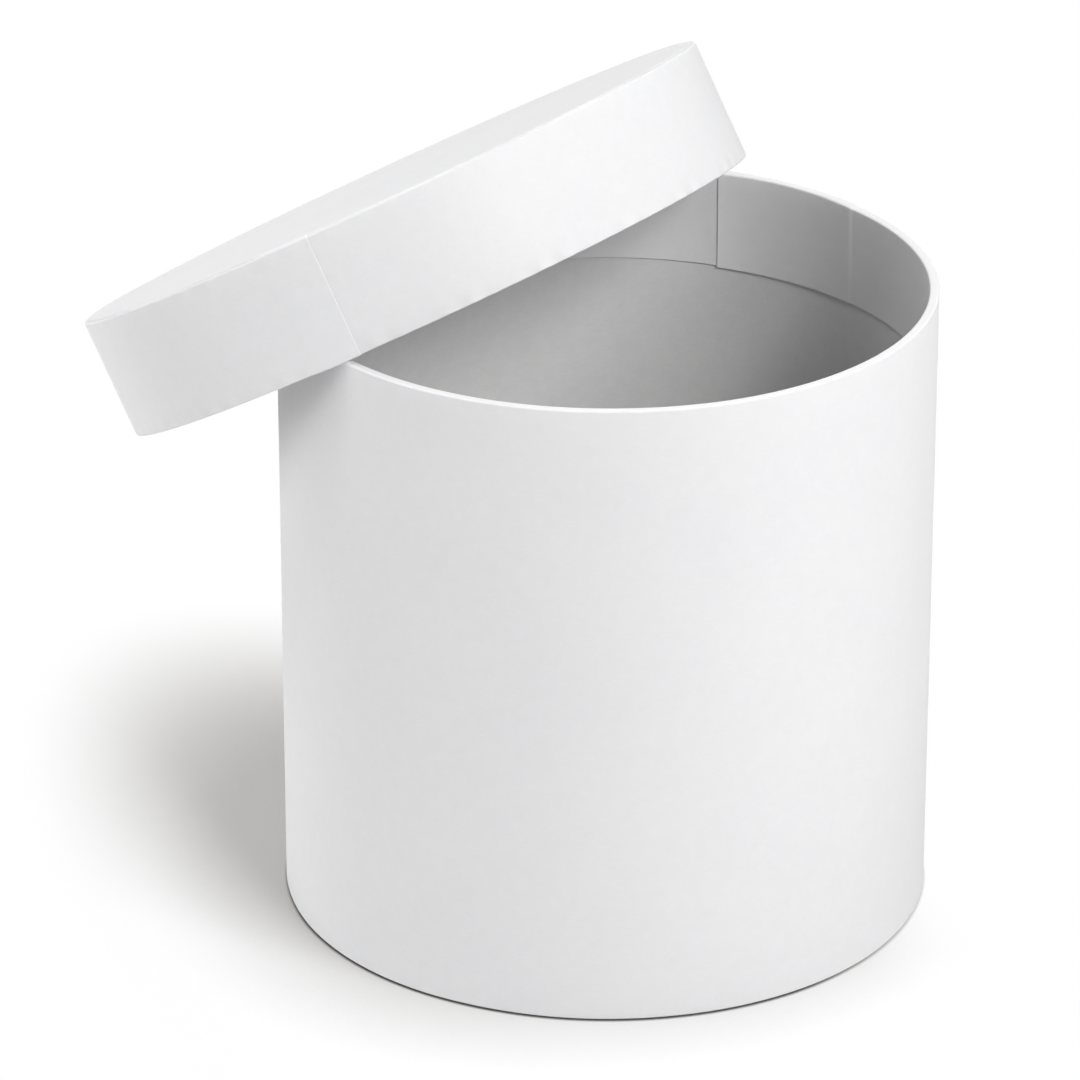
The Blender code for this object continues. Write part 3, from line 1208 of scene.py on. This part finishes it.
@dataclass
class Studio:
    """The floor, the lamps, the background and the camera.

    The floor is two planes. The camera sees only the first, which has a lamp of its own
    for the shadow and is white further out. The second throws light back at the object.
    """

    ambient: float = 0.04
    floor_side: float = 16
    floor_gap: float = 0.0002
    shade: float = 0.345
    shade_tint: Colour = (1.03, 0.985, 0.945)
    # Painted shade near the object, from how closed in the floor is there
    painted_shade_reach: float = 0.05
    painted_shade_share: float = 0.84
    left_painted_shade_share: float = 1.1
    left_range: Pair = (-0.075, 0.01)
    # Painted dark line where the object almost touches the floor, lighter on the right
    painted_line_reach: float = 0.0018
    painted_line_range: Pair = (0.42, 0.75)
    painted_line_level: float = 0.15
    right_painted_line_level: float = 0.6
    right_range: Pair = (0.055, 0.085)
    fade_centre: Pair = (0.0124, -0.122)
    fade_turn: float = 28.2
    fade_stretch: float = 2.7
    fade_range: Pair = (0.0832, 0.1339)
    bounce_colour: Colour = (0.8, 0.8, 0.8)
    under_reach: float = 0.099
    under_glow: float = 0.34
    under_lean: float = -0.8
    lamp_target: Vector = Vector((0, 0, 0.1))
    lamps: tuple[Softbox, ...] = (
        Softbox("key", heading=35, lift=40, side=0.5, power=21.0),
        Softbox("front_right", heading=50, lift=30, side=0.5, power=7.4),
        Softbox("right", heading=110, lift=45, side=0.8, power=3.6),
        Softbox("left", heading=-75, lift=12, side=0.8, power=6.1),
        Softbox("left_rear", heading=-95, lift=15, side=1.0, power=10.2),
        Softbox("high_back", heading=-120, lift=62, side=1.4, power=17.8),
        Softbox("right_back", heading=150, lift=40, side=1.2, power=5.7),
        Softbox("floor_shadow", heading=39, lift=38, side=1.1, power=57, lights=Lights.SHADOW),
    )
    camera_place: Vector = Vector((0, -1.8, 0.92855))
    camera_pitch: float = 24.367
    camera_yaw: float = 0.650
    focal_length: float = 214.4
    sensor_width: float = 36

    def plane(self, name: str, height: float, material: Material) -> Object:
        """A wide level plane.

        Args:
            name: its name.
            height: its height.
            material: its material.

        Returns:
            The plane's object.
        """
        half = self.floor_side / 2
        mesh = bpy.data.meshes.new(name)
        corners = [(x * half, y * half, height) for x, y in ((-1, -1), (1, -1), (1, 1), (-1, 1))]
        mesh.from_pydata(corners, [], [(0, 1, 2, 3)])
        mesh.materials.append(material)
        floor = linked(name, mesh)
        return floor

    def seen_floor_material(self) -> Material:
        """Floor that keeps the object's shadow, is white further out, and clear from below.

        It glows at the shade's level, and its diffuse colour brings it up to white where
        the shadow lamp reaches. Near the object that colour is darkened by how closed in
        the floor is, a painted shade, most of all on the left. Where the object almost
        touches it, a painted dark line darkens it, least of all on the right. It fades to
        white over an oval that is long the way that the shadow falls, by the distance from
        its centre, with that way made shorter.

        Returns:
            The material.
        """
        material, tree, shader = new_material("seen_floor")
        tree.tree.nodes.remove(shader)
        glow_colour = [self.shade * tint for tint in self.shade_tint]
        paint_colour = [1 - glow for glow in glow_colour]
        place = tree.add("TexCoord").outputs["Object"]
        across = tree.add("SeparateXYZ", Vector=place).outputs["X"]
        # Painted shade near the object, from how closed in the floor is, deepest on the left
        share = tree.eased(across, self.left_range, (self.left_painted_shade_share, self.painted_shade_share))
        painted_near_shade = tree.calc("MULTIPLY_ADD", tree.openness(self.painted_shade_reach), share,
                            tree.calc("SUBTRACT", 1, share))
        # Painted dark line at the foot, lighter on the right
        level = tree.eased(across, self.right_range, (self.painted_line_level, self.right_painted_line_level))
        line = tree.add("MapRange", Value=tree.openness(self.painted_line_reach),
                        From_Min=self.painted_line_range[0], From_Max=self.painted_line_range[1],
                        To_Min=level).outputs[0]
        paint = tree.vector("SCALE", paint_colour, Scale=tree.calc("MULTIPLY", painted_near_shade, line))
        lit = tree.add("BsdfDiffuse", Color=paint.outputs[0]).outputs[0]
        glow = tree.add("Emission", Color=(*glow_colour, 1), Strength=line).outputs[0]
        near = tree.add("AddShader", None, lit, glow).outputs[0]
        oval = tree.add("Mapping", {"vector_type": "TEXTURE"}, Vector=place,
                        Location=(*self.fade_centre, 0), Scale=(1, self.fade_stretch, 1),
                        Rotation=(0, 0, math.radians(self.fade_turn))).outputs["Vector"]
        distance = tree.vector("LENGTH", oval).outputs["Value"]
        white = tree.add("Emission", Color=(1, 1, 1, 1), Strength=line).outputs[0]
        floor = tree.add("MixShader", None, tree.eased(distance, self.fade_range), near, white)
        below = tree.add("NewGeometry").outputs["Backfacing"]
        clear = tree.add("BsdfTransparent").outputs[0]
        both = tree.add("MixShader", None, below, floor.outputs[0], clear)
        tree.fill(tree.tree.nodes["Material Output"], Surface=both.outputs[0])
        return material

    def bounce_floor_material(self) -> Material:
        """Plain pale matt floor, with a glow under the box for views from below.

        Out to the foot's radius it glows by the under glow, plus the under lean times x.
        Nothing but the box's underside receives it, and it is no lamp.

        Returns:
            The material.
        """
        material, tree, shader = new_material("bounce_floor")
        material.cycles.emission_sampling = "NONE"
        place = tree.add("TexCoord").outputs["Object"]
        radius = tree.vector("LENGTH", place).outputs["Value"]
        under = tree.calc("LESS_THAN", radius, self.under_reach)
        across = tree.add("SeparateXYZ", Vector=place).outputs["X"]
        glow = tree.calc("MULTIPLY_ADD", across, self.under_lean, self.under_glow)
        tree.fill(shader, Base_Color=(*self.bounce_colour, 1), Roughness=1, Specular_IOR_Level=0,
                  Emission_Color=tree.calc("MULTIPLY", glow, under), Emission_Strength=1)
        return material

    def build_floor(self) -> Object:
        """Both planes of the floor.

        Returns:
            The plane that the camera sees.
        """
        seen = self.plane("seen_floor", 0, self.seen_floor_material())
        for ray in ("diffuse", "glossy", "transmission", "shadow", "volume_scatter"):
            setattr(seen, "visible_" + ray, False)
        bounce = self.plane("bounce_floor", -self.floor_gap, self.bounce_floor_material())
        bounce.visible_camera = False
        return seen

    def build_background(self) -> None:
        """White where the camera or a gloss looks past everything, and a soft ambient light."""
        world = bpy.data.worlds.new("studio")
        world.use_nodes = True
        bpy.context.scene.world = world
        tree = Tree(world.node_tree)
        rays = tree.add("LightPath").outputs
        gloss = tree.calc("MAXIMUM", rays["Is Glossy Ray"], rays["Is Transmission Ray"])
        looked_at = tree.calc("MAXIMUM", rays["Is Camera Ray"], gloss)
        tree.fill(world.node_tree.nodes["Background"], Color=(1, 1, 1, 1),
                  Strength=tree.calc("MULTIPLY_ADD", looked_at, 1 - self.ambient, self.ambient))

    def build_camera(self) -> None:
        """The camera, at the photograph's viewing angle."""
        lens = bpy.data.cameras.new("camera")
        lens.sensor_width = self.sensor_width
        lens.lens = self.focal_length
        camera = linked("camera", lens)
        camera.location = self.camera_place
        camera.rotation_euler = (QUARTER_TURN - math.radians(self.camera_pitch), 0,
                                 math.radians(self.camera_yaw))
        bpy.context.scene.camera = camera

    def build(self) -> None:
        """Set up the whole studio."""
        bpy.context.scene.view_settings.view_transform = "Standard"
        seen_floor = self.build_floor()
        self.build_background()
        self.build_camera()
        for softbox in self.lamps:
            softbox.build(self.lamp_target, seen_floor)


def main() -> None:
    """Build the studio, the box and its lid."""
    logging.basicConfig(level=logging.INFO, format="%(message)s")
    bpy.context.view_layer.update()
    Studio().build()
    finishes = Finishes()
    for part in (BoxBody(Seat.standing("base_cover_paper")), Lid(Seat.leaning("lid_top_paper"))):
        part.build()
        part.dress(finishes)


if __name__ == "__main__":
    main()
